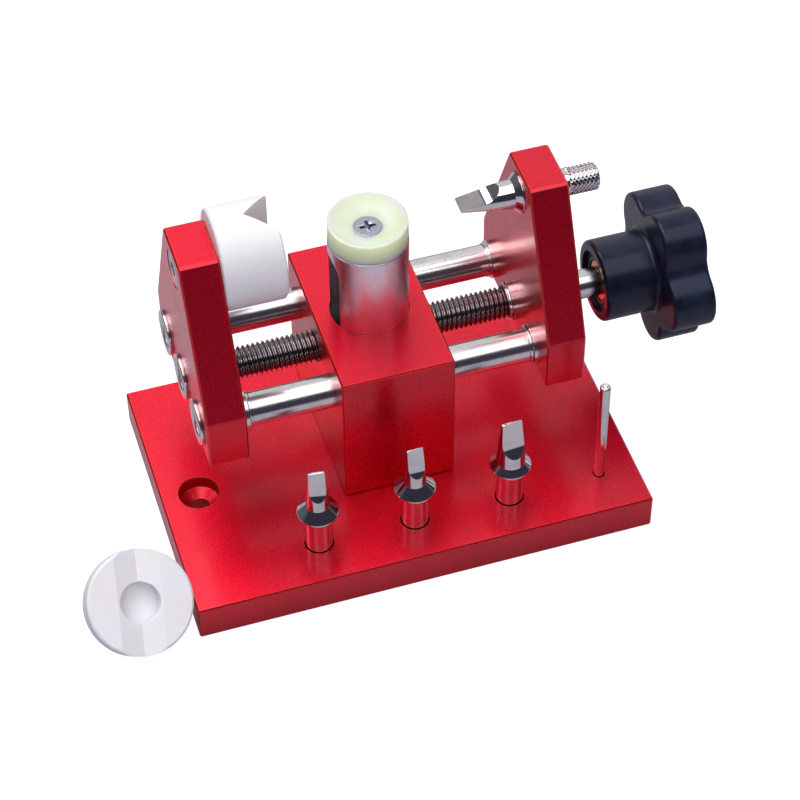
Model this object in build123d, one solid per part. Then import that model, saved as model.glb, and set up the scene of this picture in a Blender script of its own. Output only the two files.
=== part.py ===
"""Bench press for push-fit watch case backs, as an assembly of separate pieces.

The frame: origin at the centre of the base's underside, +Z up, +X towards the hand knob and
+Y towards the back. Everything is in millimetres and stands as it does with the jaws fully open.
"""
from build123d import *
from math import cos, radians, sin, sqrt
import os

# ---- driving dimensions ---------------------------------------------------------------
BASE_X, BASE_Y, BASE_Z = 140.0, 90.0, 12.0
BLOCK_X, BLOCK_Y, BLOCK_Z = 34.0, 58.0, 47.6
AXIS_Y = 13.0                       # centre plane of the block, jaws, post and lead screw
SCREW_Z = 48.2                      # height of the lead screw and both guide rods
EDGE = 0.5                          # chamfer on the machined aluminium
PAST = 1.0                          # how far a cutting tool runs past the face that it leaves

JAW_IN, JAW_THICK = 45.2, 11.9      # inner face of an open jaw plate, and its thickness
JAW_TOP, JAW_SHOULDER, JAW_BOTTOM = 100.0, 56.3, 39.3
JAW_TOP_HALF, JAW_HALF = 8.8, 29.1
TOOL_Z = 92.0                       # height of the two jaw tools above the bench

ROD_R, ROD_SPREAD = 5.0, 18.7       # guide rods, and their distance from the lead screw
BUSH_R, BUSH_NOSE = 6.0, 3.2        # bush body, and how far it stands inside the jaws
FLANGE_R, FLANGE_T = 7.0, 1.2
ROD_END = 57.6                      # the rods stop just inside the bush flanges
RUN = 0.05                          # radial running clearance

THREAD_R = 4.92                     # M10 crest radius
JOURNAL_R, JOURNAL_HALF = 3.5, 16.06
TAIL_R, TAIL_END = 3.0, 90.0        # reduced end that carries the knob
SLEEVE_R, SLEEVE_START = 4.5, 59.6

POST_R, BORE_R = 11.8, 11.88
POST_BOTTOM, PAD_BOTTOM = 36.0, 87.4
SLOT_HALF, SLOT_LOW, SLOT_TOP = 5.4, 44.3, 84.0
PAD_R, PAD_H, PAD_SCREW_Z = 11.65, 7.0, 91.9

KNOB_FACE, HUB_LEN, HUB_R = 70.5, 17.0, 12.6
STAR_T, STAR_R, LOBES = 13.5, 24.0, 5
LOBE_R, LOBE_PHASE = 9.5, 18.0
INSERT_R, INSERT_FACE = 6.0, 72.0

BIT_X, BIT_Y = 29.5, -30.5          # stored bits: spacing and row
BIT_STEM_R, BIT_HOLE_R, BIT_HOLE_DEPTH = 4.1, 4.45, 10.0
BIT_BELOW = 24.1                    # stem and knurled end below the rim
BIT_RIM_R, KNURL_R, KNURL_LEN = 6.15, 4.2, 9.1
STORED_RIM_Z = BASE_Z + 14.4
NARROW = {"neck": 3.4, "tip": 2.4, "reach": 16.7, "facet": 5.4, "scoop": 4.6}
WIDE = {"neck": 4.4, "tip": 3.0, "reach": 18.1, "facet": 7.0, "scoop": 5.2}

PIN_X, PIN_R, PIN_HOLE_R, PIN_LOW, PIN_TOP = 58.0, 1.6, 1.9, 4.1, 50.3
BENCH_HOLES = ((-58.5, -1.2), (58.5, 27.2))
BENCH_R, BENCH_SINK_R, BENCH_SINK = 3.0, 6.0, 4.4
DRILL_POINT = 1.66                  # radius over height of a 118 degree drill point

NYLON_R, NYLON_LEN, GROOVE_HALF, GROOVE_DEPTH = 15.0, 18.0, 7.8, 8.6
SPARE_R, SPARE_T = 15.5, 9.0
SPARE_CENTRE = (-85.2, -40.3, 17.2)  # centre of the loose jaw's working face
SPARE_TILT, SPARE_TURN = 40.0, 8.0   # it leans back, and is turned a little
JAW_SCREW_HEAD_R, JAW_SCREW_R = 5.7, 3.0

SPRING_R, WIRE_R, SPRING_TURNS = 8.6, 0.8, 5

# Fasteners hidden in the base, the block and the knob.
M5_R, M5_CLEAR_R, M5_HEAD_R, M5_HEAD_H, M5_HEX_R = 2.5, 2.75, 4.25, 5.0, 2.3
M5_SINK_R, M5_SINK, M5_REACH = 4.75, 5.6, 15.0
SCREW_ROW_X, SCREW_ROW_Y = 11.0, 22.5   # the four block screws, from the centre of the block
SET_SCREW_LEN, SET_SCREW_HEX_R = 8.0, 1.4
STOP_PIN_R = 1.5
STOP_PIN_X = JOURNAL_HALF - STOP_PIN_R - 0.06
KNOB_SCREW_R, KNOB_SCREW_X = 2.0, KNOB_FACE + 9.0
M4_R = 2.0                          # pad screw


# ---- small helpers --------------------------------------------------------------------
def x_bar(radius, x_start, x_end, y=AXIS_Y, z=SCREW_Z):
    """A round bar along X."""
    middle = (x_start + x_end) / 2
    return Pos(middle, y, z) * Rot(0, 90, 0) * Cylinder(radius, abs(x_end - x_start))


def z_bar(radius, z_low, z_high, x=0.0, y=AXIS_Y):
    """A round bar along Z."""
    return Pos(x, y, (z_low + z_high) / 2) * Cylinder(radius, z_high - z_low)


def turned(points):
    """Revolve an outline of (radius, height) points about the Z axis."""
    outline = make_face(Plane.XZ * Polyline(*points, close=True))
    return revolve(outline, Axis.Z)


def save(name, shape):
    export_step(shape, os.path.join("parts", name + ".step"))


def group(solids):
    """Several like pieces in one node."""
    return Compound(children=list(solids))


# ---- frame ----------------------------------------------------------------------------
def base_screw_places():
    return [(sx * SCREW_ROW_X, AXIS_Y + sy * SCREW_ROW_Y) for sx in (-1, 1) for sy in (-1, 1)]


def base_plate():
    plate = Pos(0, 0, BASE_Z / 2) * Box(BASE_X, BASE_Y, BASE_Z)
    plate = chamfer(plate.edges(), EDGE)
    for x, y in BENCH_HOLES:
        cone_h = (BENCH_SINK_R - BENCH_R) / DRILL_POINT
        floor, lip = BASE_Z - BENCH_SINK, 0.3
        sink = [(0, -PAST), (BENCH_R, -PAST), (BENCH_R, floor - cone_h), (BENCH_SINK_R, floor),
                (BENCH_SINK_R, BASE_Z - lip), (BENCH_SINK_R + lip, BASE_Z),
                (BENCH_SINK_R + lip, BASE_Z + PAST), (0, BASE_Z + PAST)]
        plate -= Pos(x, y, 0) * turned(sink)
    for x in (-BIT_X, 0, BIT_X):
        plate -= z_bar(BIT_HOLE_R, BASE_Z - BIT_HOLE_DEPTH, BASE_Z + PAST, x, BIT_Y)
    plate -= z_bar(PIN_HOLE_R, PIN_LOW - 0.1, BASE_Z + PAST, PIN_X, BIT_Y)
    for x, y in base_screw_places():
        plate -= z_bar(M5_CLEAR_R, -PAST, BASE_Z + PAST, x, y) + z_bar(M5_SINK_R, -PAST, M5_SINK, x, y)
    return plate


def centre_block():
    block = Pos(0, AXIS_Y, BASE_Z + BLOCK_Z / 2) * Box(BLOCK_X, BLOCK_Y, BLOCK_Z)
    block = chamfer(block.edges(), EDGE)
    block -= z_bar(BORE_R, BASE_Z - PAST, BASE_Z + BLOCK_Z + PAST)
    block -= x_bar(THREAD_R + 0.08, -BLOCK_X, BLOCK_X)
    for side in (-1, 1):
        block -= x_bar(ROD_R, -BLOCK_X, BLOCK_X, AXIS_Y + side * ROD_SPREAD)
        block -= z_bar(M5_R, BASE_Z - PAST, SCREW_Z, 0, AXIS_Y + side * ROD_SPREAD)
        block -= z_bar(STOP_PIN_R, BASE_Z - PAST, SCREW_Z, side * STOP_PIN_X)
    for x, y in base_screw_places():
        block -= z_bar(M5_R, BASE_Z - PAST, BASE_Z + M5_REACH + 2, x, y)
    return block


def cap_screw(x, y):
    """M5 socket cap screw, head down in the underside of the base."""
    low = 0.5                       # the head stays this far inside the underside
    screw = z_bar(M5_HEAD_R, low, low + M5_HEAD_H, x, y)
    screw += z_bar(M5_R, low + M5_HEAD_H, BASE_Z + M5_REACH, x, y)
    socket = Pos(x, y, 0) * extrude(RegularPolygon(M5_HEX_R, 6), low + M5_HEAD_H / 2)
    return screw - socket


def rod_set_screw(side):
    """M5 set screw that holds a guide rod from below."""
    y = AXIS_Y + side * ROD_SPREAD
    top = SCREW_Z - ROD_R
    low = top - SET_SCREW_LEN
    return z_bar(M5_R, low, top, 0, y) - Pos(0, y, low) * extrude(RegularPolygon(SET_SCREW_HEX_R, 6), 3)


def stop_pin(side):
    """Dowel that keeps the lead screw's journal from moving along its axis."""
    return z_bar(STOP_PIN_R, BASE_Z + 2, SCREW_Z - JOURNAL_R - RUN, side * STOP_PIN_X)


def guide_rod(side):
    rod = x_bar(ROD_R, -ROD_END, ROD_END, AXIS_Y + side * ROD_SPREAD)
    return chamfer(rod.edges().filter_by(GeomType.CIRCLE), 0.6)


# ---- lead screw and knob --------------------------------------------------------------
def lead_screw():
    """Opposite threads left and right, a plain journal in the block and a tail for the knob."""
    crest, tail = THREAD_R, TAIL_R
    profile = [(0, -ROD_END), (crest - 1, -ROD_END), (crest, -ROD_END + 1), (crest, -JOURNAL_HALF),
               (JOURNAL_R, -JOURNAL_HALF), (JOURNAL_R, JOURNAL_HALF), (crest, JOURNAL_HALF),
               (crest, SLEEVE_START - 0.1), (tail, SLEEVE_START), (tail, TAIL_END), (0, TAIL_END)]
    return Pos(0, AXIS_Y, SCREW_Z) * Rot(0, 90, 0) * turned(profile)


def knob_sleeve():
    sleeve = x_bar(SLEEVE_R, SLEEVE_START, INSERT_FACE) - x_bar(TAIL_R, 0, 100)
    return chamfer(sleeve.edges().filter_by(GeomType.CIRCLE).sort_by(Axis.X)[:2], 0.3)


def star_outline():
    """Round lobes joined by hollow valleys."""
    shape = Circle(12.0)
    for lobe in range(LOBES):
        angle = radians(LOBE_PHASE + lobe * 360 / LOBES)
        centre = STAR_R - LOBE_R
        shape += Pos(centre * sin(angle), centre * cos(angle)) * Circle(LOBE_R)
    valleys = [v for v in shape.vertices() if 12.5 < sqrt(v.X ** 2 + v.Y ** 2) < 18]
    return fillet(valleys, 6.0)


def knob():
    """Moulded star knob. Its first lobe points straight at the user."""
    star = fillet(extrude(star_outline(), STAR_T).edges(), 1.6)
    hub = turned([(0, -HUB_LEN), (9.5, -HUB_LEN), (HUB_R - 1.2, -HUB_LEN), (HUB_R, -HUB_LEN + 1.2),
                  (HUB_R, 0.5), (0, 0.5)])
    body = star + hub
    body -= Pos(0, 0, -HUB_LEN - 0.01) * Cylinder(9.6, 1.2, align=(Align.CENTER, Align.CENTER, Align.MIN))
    body -= Pos(0, 0, STAR_T - 1.0) * Cylinder(13.0, 2.0, align=(Align.CENTER, Align.CENTER, Align.MIN))
    placed = Pos(KNOB_FACE + HUB_LEN, AXIS_Y, SCREW_Z) * Rot(0, 90, 0) * Rot(0, 0, -90) * body
    placed -= x_bar(INSERT_R, KNOB_FACE - 1, TAIL_END + 4)
    placed -= x_bar(5.2, KNOB_FACE - 1, INSERT_FACE)
    return placed - z_bar(KNOB_SCREW_R, SCREW_Z - HUB_R - PAST, SCREW_Z, KNOB_SCREW_X)


def knob_insert():
    insert = x_bar(INSERT_R, INSERT_FACE, TAIL_END + 4) - x_bar(TAIL_R, 0, TAIL_END)
    return insert - z_bar(KNOB_SCREW_R, SCREW_Z - HUB_R, SCREW_Z, KNOB_SCREW_X)


def knob_set_screw():
    low = SCREW_Z - HUB_R + 2.0     # it sits below the hub's surface
    screw = z_bar(KNOB_SCREW_R, low, SCREW_Z - TAIL_R - 0.02, KNOB_SCREW_X)
    return screw - Pos(KNOB_SCREW_X, AXIS_Y, low) * extrude(RegularPolygon(1.1, 6), 2)


# ---- jaws -----------------------------------------------------------------------------
def jaw_plate(side):
    """Plate with a flat top, slanted sides and a straight foot. side is -1 left, 1 right."""
    half = [(JAW_TOP_HALF, JAW_TOP), (JAW_HALF, JAW_SHOULDER), (JAW_HALF, JAW_BOTTOM)]
    outline = [(AXIS_Y + y, z) for y, z in half] + [(AXIS_Y - y, z) for y, z in reversed(half)]
    face = make_face(Plane.YZ * Polyline(*outline, close=True))
    plate = Pos(side * JAW_IN, 0, 0) * extrude(face, JAW_THICK, dir=(side, 0, 0))
    plate = chamfer(plate.edges(), EDGE)
    for offset in (-ROD_SPREAD, 0, ROD_SPREAD):
        plate -= x_bar(BUSH_R, 0, side * 70, AXIS_Y + offset)
    return plate


def left_jaw_plate():
    outer = -(JAW_IN + JAW_THICK)
    sink = [(0, 0), (JAW_SCREW_HEAD_R + 0.1, 0), (JAW_SCREW_HEAD_R + 0.1, 0.25),
            (JAW_SCREW_R, JAW_SCREW_HEAD_R - JAW_SCREW_R + 0.35), (JAW_SCREW_R, 20), (0, 20)]
    return jaw_plate(-1) - Pos(outer, AXIS_Y, TOOL_Z) * Rot(0, 90, 0) * turned(sink)


def right_jaw_plate():
    hole = x_bar(KNURL_R + 0.1, 0, 70, z=TOOL_Z)
    seat_depth = 2.2
    seat = turned([(0, -1), (BIT_RIM_R + 0.25, -1), (BIT_RIM_R + 0.25, 0.1),
                   (BIT_STEM_R, seat_depth), (0, seat_depth)])
    return jaw_plate(1) - hole - Pos(JAW_IN, AXIS_Y, TOOL_Z) * Rot(0, 90, 0) * seat


def bush(side, offset, bore):
    """Flanged bush pressed through a jaw plate, with a short nose on the inner side."""
    inner, outer = JAW_IN - BUSH_NOSE, JAW_IN + JAW_THICK
    step_r, face = BUSH_R - 0.8, outer + FLANGE_T
    profile = [(bore, inner), (step_r, inner), (step_r, inner + 0.8), (BUSH_R, inner + 1.1), (BUSH_R, outer),
               (FLANGE_R, outer), (FLANGE_R, face - 0.3), (FLANGE_R - 0.3, face), (bore + 0.5, face),
               (bore, face - 0.5)]
    return Pos(0, AXIS_Y + offset, SCREW_Z) * Rot(0, side * 90, 0) * turned(profile)


def nylon_jaw():
    """Round jaw with an upright V groove that grips the side of a watch case."""
    start, end = -JAW_IN, -JAW_IN + NYLON_LEN
    jaw = chamfer(x_bar(NYLON_R, start, end, z=TOOL_Z).edges().filter_by(GeomType.CIRCLE), 0.6)
    groove = Polyline((end + 0.01, AXIS_Y - GROOVE_HALF), (end - GROOVE_DEPTH, AXIS_Y),
                      (end + 0.01, AXIS_Y + GROOVE_HALF), close=True)
    jaw -= Pos(0, 0, TOOL_Z - 20) * extrude(make_face(groove), 40)
    return jaw - x_bar(JAW_SCREW_R, start - 1, start + 8.2, z=TOOL_Z)


def nylon_jaw_screw():
    """M6 countersunk screw through the left plate into the nylon jaw."""
    head, shank = JAW_SCREW_HEAD_R, JAW_SCREW_R
    profile = [(0, 0.15), (head, 0.15), (head, 0.25), (shank, head - shank + 0.25), (shank, 20), (0, 20)]
    screw = turned(profile) - Pos(0, 0, 0.1) * extrude(RegularPolygon(2.3, 6), 3)
    return Pos(-(JAW_IN + JAW_THICK), AXIS_Y, TOOL_Z) * Rot(0, 90, 0) * screw


# ---- bits, pin and loose jaw ----------------------------------------------------------
def bit(shape):
    """A blade bit standing on Z: rim at z 0, blade above, stem and knurled end below."""
    neck, tip, reach = shape["neck"], shape["tip"], shape["reach"]
    knurl_top = -BIT_BELOW + KNURL_LEN
    profile = [(0, -BIT_BELOW), (KNURL_R - 0.7, -BIT_BELOW), (KNURL_R, -BIT_BELOW + 0.7),
               (KNURL_R, knurl_top - 0.2), (BIT_STEM_R, knurl_top), (BIT_STEM_R, -1.9),
               (BIT_RIM_R, -0.2), (BIT_RIM_R, 0.2), (neck, 1.95), (tip, reach), (0, reach)]
    body = turned(profile)
    edge_half, facet_half = 0.3, 1.25
    facet_z = reach - shape["facet"]
    scoop_z = facet_z - shape["scoop"]
    root_half = neck + (tip - neck) * (scoop_z - 1.95) / (reach - 1.95) + 0.02
    for turn in (0, 180):
        blade_side = Polyline((facet_half, facet_z), (edge_half, reach + 0.01), (9, reach + 0.01),
                              (9, scoop_z), (root_half, scoop_z))
        scoop = ThreePointArc((root_half, scoop_z), ((facet_half + root_half) / 2 - 0.45,
                                                    (facet_z + scoop_z) / 2), (facet_half, facet_z))
        cutter = extrude(make_face(Plane.YZ * (blade_side + scoop)), 8, both=True)
        body -= Rot(0, 0, turn) * cutter
    return body


def stored_bit(x, shape, turn):
    return Pos(x, BIT_Y, STORED_RIM_Z) * Rot(0, 0, turn) * bit(shape)


def blade_bit():
    """The fitted bit: its edge lies level, and its rim seats in the right plate."""
    return Pos(JAW_IN - 0.15, AXIS_Y, TOOL_Z) * Rot(0, -90, 0) * Rot(0, 0, 90) * bit(WIDE)


def steel_pin():
    pin = z_bar(PIN_R, PIN_LOW, PIN_TOP, PIN_X, BIT_Y)
    pin = chamfer(pin.edges().filter_by(GeomType.CIRCLE), 0.3)
    return pin - z_bar(0.7, PIN_TOP - 1.2, PIN_TOP + 1, PIN_X, BIT_Y)


def spare_nylon_jaw():
    """The second jaw, loose on the bench beside the base: a shallow V and a blind recess."""
    disc = Pos(0, 0, -SPARE_T / 2) * Cylinder(SPARE_R, SPARE_T)
    disc = chamfer(disc.edges().filter_by(GeomType.CIRCLE), 0.6)
    groove = make_face(Plane.XZ * Polyline((-6.6, 0.01), (0, -2.2), (6.6, 0.01), close=True))
    disc -= extrude(groove, 40, both=True)
    disc -= Pos(0, 0, -6.0) * Cylinder(5.9, 12, align=(Align.CENTER, Align.CENTER, Align.MIN))
    disc -= Pos(0, 0, -SPARE_T - 1) * Cylinder(2.5, 3.2, align=(Align.CENTER, Align.CENTER, Align.MIN))
    leaning = Rot(0, 0, SPARE_TURN) * Rot(SPARE_TILT, 0, 0) * Rot(0, 0, -14) * disc
    return Pos(*SPARE_CENTRE) * leaning


# ---- sprung post ----------------------------------------------------------------------
def post():
    """Round post with a long slot that the lead screw's journal passes through."""
    body = chamfer(z_bar(POST_R, POST_BOTTOM, PAD_BOTTOM).edges().filter_by(GeomType.CIRCLE), 0.3)
    low, high = SLOT_LOW + SLOT_HALF, SLOT_TOP - SLOT_HALF
    body -= Pos(0, AXIS_Y, (low + high) / 2) * Box(60, 2 * SLOT_HALF, high - low)
    body -= x_bar(SLOT_HALF, -30, 30, z=low) + x_bar(SLOT_HALF, -30, 30, z=high)
    return body - z_bar(M4_R, SLOT_TOP - 2, PAD_BOTTOM + PAST)


def post_pad():
    """Soft pad with a dished top."""
    top, sink = PAD_BOTTOM + PAD_H, PAD_SCREW_Z - PAD_BOTTOM
    dish_r, head_r = PAD_R - 0.7, 4.3
    rim = [(M4_R, 0), (PAD_R, 0), (PAD_R, PAD_H - 0.3), (PAD_R - 0.3, PAD_H), (dish_r, PAD_H)]
    outline = Polyline(*rim) + ThreePointArc((dish_r, PAD_H), (7.6, sink + 0.75), (head_r, sink))
    outline += Polyline((head_r, sink), (M4_R, sink - head_r + M4_R), (M4_R, 0))
    pad = revolve(make_face(Plane.XZ * outline), Axis.Z)
    return Pos(0, AXIS_Y, PAD_BOTTOM) * pad


def pad_screw():
    """M4 countersunk screw with a cross recess."""
    head_r, end = 4.25, SLOT_TOP + 0.3 - PAD_SCREW_Z
    screw = turned([(0, 0), (head_r, 0), (M4_R, M4_R - head_r), (M4_R, end), (0, end)])
    cross = Box(5.0, 0.9, 2.6) + Box(0.9, 5.0, 2.6)
    return Pos(0, AXIS_Y, PAD_SCREW_Z) * (screw - cross)


def post_spring():
    """Compression spring under the post, swept along its helix."""
    low, high = BASE_Z + WIRE_R + 0.05, POST_BOTTOM - WIRE_R - 0.05
    pitch = (high - low) / SPRING_TURNS
    path = Helix(pitch, high - low, SPRING_R)
    wire = sweep(Plane(origin=path @ 0, z_dir=path % 0) * Circle(WIRE_R), path, is_frenet=True)
    return Pos(0, AXIS_Y, low) * wire


def write_all():
    os.makedirs("parts", exist_ok=True)
    save("base_plate", base_plate())
    save("centre_block", centre_block())
    save("block_screws", group(cap_screw(x, y) for x, y in base_screw_places()))
    save("rod_set_screws", group(rod_set_screw(side) for side in (-1, 1)))
    save("screw_stop_pins", group(stop_pin(side) for side in (-1, 1)))
    save("lead_screw", lead_screw())
    save("knob_sleeve", knob_sleeve())
    save("knob", knob())
    save("knob_insert", knob_insert())
    save("knob_set_screw", knob_set_screw())
    save("left_jaw_plate", left_jaw_plate())
    save("right_jaw_plate", right_jaw_plate())
    for name, side in (("left", -1), ("right", 1)):
        save(name + "_bush_front", bush(side, -ROD_SPREAD, ROD_R + RUN))
        save(name + "_bush_back", bush(side, ROD_SPREAD, ROD_R + RUN))
        save(name + "_nut", bush(side, 0, THREAD_R + 0.08))
    save("guide_rod_front", guide_rod(-1))
    save("guide_rod_back", guide_rod(1))
    save("nylon_jaw", nylon_jaw())
    save("nylon_jaw_screw", nylon_jaw_screw())
    save("blade_bit", blade_bit())
    save("spare_bit_left", stored_bit(-BIT_X, NARROW, -6.5))
    save("spare_bit_middle", stored_bit(0, NARROW, 4.5))
    save("spare_bit_right", stored_bit(BIT_X, WIDE, 5.5))
    save("steel_pin", steel_pin())
    save("spare_nylon_jaw", spare_nylon_jaw())
    save("post", post())
    save("post_pad", post_pad())
    save("pad_screw", pad_screw())
    save("post_spring", post_spring())


write_all()
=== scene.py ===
"""Bench press for push-fit watch case backs: the visible pieces, their finishes and a small studio.

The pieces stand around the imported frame, in metres, with +Z up and +X towards the hand knob.
"""
import math
from math import cos, radians, sin, tan

import bmesh
import bpy
from bpy.props import FloatProperty, FloatVectorProperty, IntProperty, PointerProperty
from mathutils import Matrix, Vector


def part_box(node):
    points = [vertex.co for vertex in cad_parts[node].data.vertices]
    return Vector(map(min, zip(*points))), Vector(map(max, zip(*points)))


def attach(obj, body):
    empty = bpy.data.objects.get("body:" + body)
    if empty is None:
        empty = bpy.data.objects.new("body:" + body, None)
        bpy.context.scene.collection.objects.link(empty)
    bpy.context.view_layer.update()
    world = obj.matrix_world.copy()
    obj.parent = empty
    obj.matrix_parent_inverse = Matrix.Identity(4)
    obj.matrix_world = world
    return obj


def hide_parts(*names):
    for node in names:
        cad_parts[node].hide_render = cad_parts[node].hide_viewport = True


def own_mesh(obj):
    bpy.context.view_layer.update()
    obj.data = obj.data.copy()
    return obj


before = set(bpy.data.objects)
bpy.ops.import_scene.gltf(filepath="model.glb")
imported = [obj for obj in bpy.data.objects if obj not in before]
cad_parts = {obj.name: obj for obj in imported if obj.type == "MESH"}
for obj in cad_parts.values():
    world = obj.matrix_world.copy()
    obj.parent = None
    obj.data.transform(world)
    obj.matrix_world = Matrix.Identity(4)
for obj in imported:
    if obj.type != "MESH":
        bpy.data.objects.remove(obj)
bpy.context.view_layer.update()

bl_info = {
    "name": "Watch case press",
    "version": (1, 0, 0),
    "blender": (4, 5, 0),
    "location": "View3D > Sidebar > Case press",
    "description": "Builds a bench press for watch case backs, with its bits, jaws and studio",
    "category": "Add Mesh",
}

MM = 0.001
TURN = 2 * math.pi
WELD = 1e-6                      # points closer than this are one point, in metres


# ---- places read from the frame ---------------------------------------------------------
def middle(node):
    low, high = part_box(node)
    return (low + high) / 2


def half_size(node):
    low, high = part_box(node)
    return (high - low) / 2


SCREW_LINE = middle("guide_rod_front").z
CENTRE_Y = middle("lead_screw").y
TOOL_LINE = middle("blade_bit").z
PLATE_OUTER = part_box("right_jaw_plate")[1].x


# ---- settings a user would change -------------------------------------------------------
def colour(name, description, *value):
    return FloatVectorProperty(name=name, description=description, subtype="COLOR", size=4,
                               default=(*value, 1), min=0, max=1)


def angle(name, description, degrees):
    return FloatProperty(name=name, description=description, subtype="ANGLE", default=radians(degrees))


def watts(name, description, power):
    return FloatProperty(name=name, description=description + ", in watts", default=power, min=0)


class PressSizes(bpy.types.PropertyGroup):
    """Sizes of the visible detail."""
    lathe_steps: IntProperty(
        name="Lathe steps", description="Faces around a turned piece", default=96, min=24, max=256)
    thread_pitch: FloatProperty(
        name="Thread pitch", description="Distance between two crests of the lead screw",
        default=1.5 * MM, min=0.5 * MM, max=3 * MM, unit="LENGTH", precision=5)
    thread_depth: FloatProperty(
        name="Thread depth", description="From the crest to the root of the lead screw's thread",
        default=0.86 * MM, min=0.2 * MM, max=1.2 * MM, unit="LENGTH", precision=5)
    knurl_diamonds: IntProperty(
        name="Knurl diamonds", description="Diamonds around the knurled end of a bit",
        default=20, min=8, max=48)
    knurl_depth: FloatProperty(
        name="Knurl depth", description="How far the diamonds stand above their grooves",
        default=0.3 * MM, min=0.05 * MM, max=0.4 * MM, unit="LENGTH", precision=5)
    knob_lobes: IntProperty(
        name="Knob lobes", description="Round lobes on the star knob", default=5, min=3, max=8)


class PressFinish(bpy.types.PropertyGroup):
    """Colours of the finishes."""
    red_dye: colour("Red dye", "Colour of the anodised aluminium", 0.94, 0.004, 0.034)
    steel: colour("Steel", "Colour of the ground and plated steel", 0.74, 0.73, 0.74)
    bare_aluminium: colour("Bare aluminium", "Colour of the satin post", 0.88, 0.85, 0.92)
    zinc: colour("Zinc", "Colour of the plated screws", 0.48, 0.52, 0.60)
    black_oxide: colour("Black oxide", "Colour of the blackened lead screw", 0.30, 0.275, 0.285)
    knob_plastic: colour("Knob plastic", "Colour of the moulded knob", 0.005, 0.007, 0.016)
    brass: colour("Brass", "Colour of the knob's threaded insert", 0.72, 0.42, 0.18)
    nylon: colour("Nylon", "Colour of the two grooved jaws", 0.80, 0.80, 0.85)
    soft_pad: colour("Soft pad", "Colour of the clear pad on the post", 0.80, 0.98, 0.70)


class PressStage(bpy.types.PropertyGroup):
    """Where the camera stands and how bright the lights are."""
    azimuth: angle("Azimuth", "Turn of the camera about the object", -17.015)
    elevation: angle("Elevation", "Height of the camera above the horizon", 47.684)
    roll: angle("Roll", "Tilt of the camera about its own axis", -0.58)
    distance: FloatProperty(
        name="Distance", description="From the camera to the point it looks at",
        default=816.6 * MM, unit="LENGTH")
    look_at: FloatVectorProperty(
        name="Look at", description="Point that the camera looks at", subtype="TRANSLATION",
        size=3, default=(18.0 * MM, 42.25 * MM, -18.08 * MM))
    lens: FloatProperty(
        name="Lens", description="Focal length in millimetres, on a sensor 36 mm wide",
        default=113.06, min=20)
    key_power: watts("Key light", "Power of the large light above the press", 9.2)
    rear_power: watts("Rear light", "Power of the light behind and to the left", 11.5)
    fill_power: watts("Fill light", "Power of the light in front that no metal mirrors", 5.0)


# ---- modelling helpers ------------------------------------------------------------------
ALONG_X = Matrix.Rotation(TURN / 4, 4, "Y")
AGAINST_X = Matrix.Rotation(-TURN / 4, 4, "Y")


def leave_edit_mode():
    if bpy.context.object is not None and bpy.context.object.mode != "OBJECT":
        bpy.ops.object.mode_set(mode="OBJECT")


def pick(piece):
    """Make one piece the only one selected, and the active one."""
    leave_edit_mode()
    bpy.ops.object.select_all(action="DESELECT")
    piece.select_set(True)
    bpy.context.view_layer.objects.active = piece


def edit(piece, mode="FACE"):
    """Open one piece in edit mode with nothing selected."""
    pick(piece)
    bpy.ops.object.mode_set(mode="EDIT")
    bpy.ops.mesh.select_mode(type=mode)
    bpy.ops.mesh.select_all(action="DESELECT")


def select_where(piece, kind, test):
    """In edit mode, select the vertices, edges or faces that pass a test."""
    shape = bmesh.from_edit_mesh(piece.data)
    for item in getattr(shape, kind):
        item.select_set(bool(test(item)))
    shape.select_flush_mode()
    bmesh.update_edit_mesh(piece.data)


def start_point(name, place):
    """A new piece with a single point, open in edit mode with the point selected."""
    leave_edit_mode()
    bpy.ops.object.select_all(action="DESELECT")
    bpy.ops.mesh.primitive_plane_add(size=MM)
    piece = bpy.context.object
    piece.name = name
    bpy.ops.object.mode_set(mode="EDIT")
    bpy.ops.mesh.select_mode(type="VERT")
    bpy.ops.mesh.select_all(action="SELECT")
    bpy.ops.mesh.merge(type="CENTER")
    bpy.ops.transform.translate(value=place)
    return piece


def draw_line(points):
    """Extrude the selected point along a row of points, the first of which is where it stands."""
    for here, there in zip(points, points[1:]):
        bpy.ops.mesh.extrude_region_move(TRANSFORM_OT_translate={"value": there - here})


def weld():
    """Join doubled points, point every face outwards and leave edit mode."""
    bpy.ops.mesh.select_all(action="SELECT")
    bpy.ops.mesh.remove_doubles(threshold=WELD)
    bpy.ops.mesh.normals_make_consistent(inside=False)
    bpy.ops.object.mode_set(mode="OBJECT")


def arc(centre, radius, start, end, count):
    """Points on an arc in the plane of an outline. Angles are in degrees."""
    angles = (radians(start + (end - start) * step / count) for step in range(count + 1))
    return [(centre[0] + radius * cos(a), centre[1] + radius * sin(a)) for a in angles]


def bar(radius, length, chamfer=0.3):
    """Outline of a round bar's wall, with both ends chamfered."""
    return [(radius - chamfer, 0), (radius, chamfer), (radius, length - chamfer), (radius - chamfer, length)]


def lathe(name, outline, ring=False, steps=None):
    """Spin an outline of (radius, height) points, in millimetres, about Z. A ring's outline closes."""
    steps = steps or bpy.context.scene.press_sizes.lathe_steps
    points = [Vector((radius, 0, height)) * MM for radius, height in outline]
    if ring:
        points.append(points[0])
    piece = start_point(name, points[0])
    draw_line(points)
    bpy.ops.mesh.select_all(action="SELECT")
    bpy.ops.mesh.spin(steps=steps, angle=TURN, center=(0, 0, 0), axis=(0, 0, 1))
    weld()
    return piece


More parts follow.
